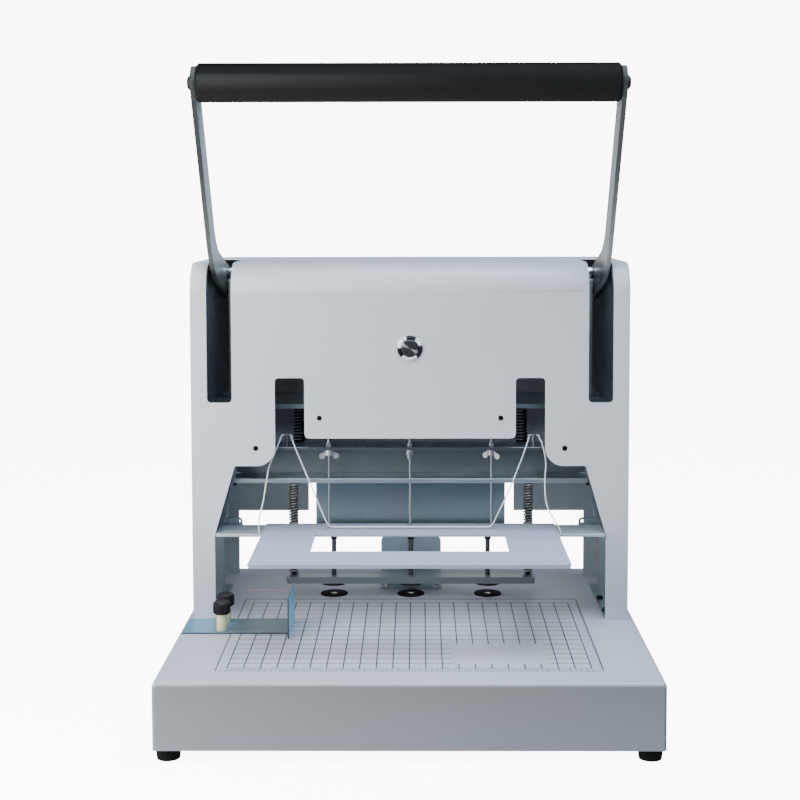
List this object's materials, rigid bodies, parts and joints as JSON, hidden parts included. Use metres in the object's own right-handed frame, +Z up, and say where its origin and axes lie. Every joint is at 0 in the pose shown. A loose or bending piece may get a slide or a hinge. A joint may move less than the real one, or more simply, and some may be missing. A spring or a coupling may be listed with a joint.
{
  "type": "three-hole binding machine",
  "caption": "Desk binding machine: a bent hand lever drives a ram of hollow punches and threading needles through a paper stack on a sheet-metal base.",
  "frame": {"origin": "on the ground under the middle of the base box", "axes": "+X to the right as the operator sees it, +Y to the back, +Z up"},
  "size_m": [0.439, 0.406, 0.6018],
  "materials": {
    "base_paint": "powder coat, light grey, fine texture",
    "cover_paint": "powder coat, cool white grey, fine texture",
    "galvanised_steel": "galvanised sheet, bluish grey, satin",
    "stainless_sheet": "stainless sheet, satin",
    "lever_steel": "ground flat bar, satin",
    "bright_steel": "ground and polished",
    "zinc_steel": "zinc or nickel plated",
    "black_steel": "blackened, oiled",
    "bronze": "sintered bronze, matt",
    "black_rubber": "matt rubber",
    "black_foam": "closed-cell foam, matt",
    "black_plastic": "matt moulded plastic",
    "cream_plastic": "moulded plastic, cream",
    "tray_plastic": "white sheet, half gloss",
    "white_thread": "twisted thread"
  },
  "bodies": {
    "frame": {"base_shell": "base_paint", "base_bottom_plate": "galvanised_steel", "rubber_feet": "black_rubber", "foot_screws": "zinc_steel", "left_side_frame": "galvanised_steel", "right_side_frame": "galvanised_steel", "left_side_panel": "cover_paint", "right_side_panel": "cover_paint", "front_cover": "cover_paint", "rear_cover": "cover_paint", "cover_screws": "black_steel", "button_bezel": "zinc_steel", "button_nut": "zinc_steel", "switch_body": "black_plastic", "guide_deck": "galvanised_steel", "guide_bushings": "bronze", "shaft_bushings": "bronze", "guide_light": "black_plastic", "shelf": "galvanised_steel", "shelf_brackets": "galvanised_steel", "thread_tray": "tray_plastic", "tray_rivets": "tray_plastic", "thread": "white_thread", "die_discs": "black_plastic", "die_inserts": "zinc_steel", "return_springs": "black_steel"},
    "lever": {"pivot_shaft": "bright_steel", "lever_arm_left": "lever_steel", "lever_arm_right": "lever_steel", "push_pins": "bright_steel", "handle_bar": "bright_steel", "grip_foam": "black_foam", "handle_bolts": "black_steel"},
    "ram": {"ram_carriage": "galvanised_steel", "ram_plate": "galvanised_steel", "tool_bar": "lever_steel", "guide_posts": "bright_steel", "push_yokes": "lever_steel", "punches": "bright_steel", "punch_sleeves": "black_steel", "needle_beam": "galvanised_steel", "thread_needles": "bright_steel", "needle_nuts": "zinc_steel", "thread_pegs": "bright_steel"},
    "press": {"press_plate": "galvanised_steel", "press_posts": "bright_steel", "press_nuts": "zinc_steel", "press_springs": "black_steel", "press_pads": "black_rubber"},
    "wing_left": {"wing_nut_left": "zinc_steel"},
    "wing_centre": {"wing_nut_centre": "zinc_steel"},
    "wing_right": {"wing_nut_right": "zinc_steel"},
    "button": {"button_cap": "zinc_steel"},
    "fence": {"side_fence": "stainless_sheet", "fence_posts": "cream_plastic", "fence_studs": "zinc_steel"},
    "knob_front": {"thumb_knob_front": "black_plastic"},
    "knob_rear": {"thumb_knob_rear": "black_plastic"},
    "stop": {"back_stop": "galvanised_steel", "back_stop_screws": "zinc_steel"}
  },
  "joints": [
    {"name": "lever_hinge", "type": "hinge", "parent": "frame", "child": "lever", "pos_m": [0, 0.141, 0.39], "axis": [1, 0, 0], "range_deg": [0, 48]},
    {"name": "ram_slide", "type": "slide", "parent": "frame", "child": "ram", "axis": [0, 0, -1], "range_m": [0, 0.0342], "stiffness_N_per_m": 3000, "springref_m": -0.06, "deforming": ["return_springs", "thread"]},
    {"name": "press_slide", "type": "slide", "parent": "ram", "child": "press", "axis": [0, 0, 1], "range_m": [0, 0.0242], "stiffness_N_per_m": 500, "springref_m": -0.02, "deforming": ["press_springs"]},
    {"name": "wing_left_turn", "type": "hinge", "parent": "ram", "child": "wing_left", "pos_m": [-0.08, 0.013, 0.232], "axis": [0, 0, 1], "continuous": true},
    {"name": "wing_centre_turn", "type": "hinge", "parent": "ram", "child": "wing_centre", "pos_m": [0, 0.013, 0.232], "axis": [0, 0, 1], "continuous": true},
    {"name": "wing_right_turn", "type": "hinge", "parent": "ram", "child": "wing_right", "pos_m": [0.08, 0.013, 0.232], "axis": [0, 0, 1], "continuous": true},
    {"name": "button_push", "type": "slide", "parent": "frame", "child": "button", "axis": [0, 1, 0], "range_m": [0, 0.002], "stiffness_N_per_m": 400, "springref_m": -0.002},
    {"name": "fence_slide", "type": "slide", "parent": "frame", "child": "fence", "axis": [1, 0, 0], "range_m": [0, 0.05]},
    {"name": "knob_front_turn", "type": "hinge", "parent": "fence", "child": "knob_front", "pos_m": [-0.179, -0.049, 0.093], "axis": [0, 0, 1], "continuous": true},
    {"name": "knob_rear_turn", "type": "hinge", "parent": "fence", "child": "knob_rear", "pos_m": [-0.179, -0.02, 0.093], "axis": [0, 0, 1], "continuous": true},
    {"name": "stop_slide", "type": "slide", "parent": "frame", "child": "stop", "axis": [0, 1, 0], "range_m": [0, 0.036]}
  ],
  "couplings": [
    {"joint": "ram_slide", "follows": "lever_hinge", "m_per_rad": 0.040727},
    {"joint": "press_slide", "follows": "lever_hinge", "m_per_rad": 0.02879}
  ]
}
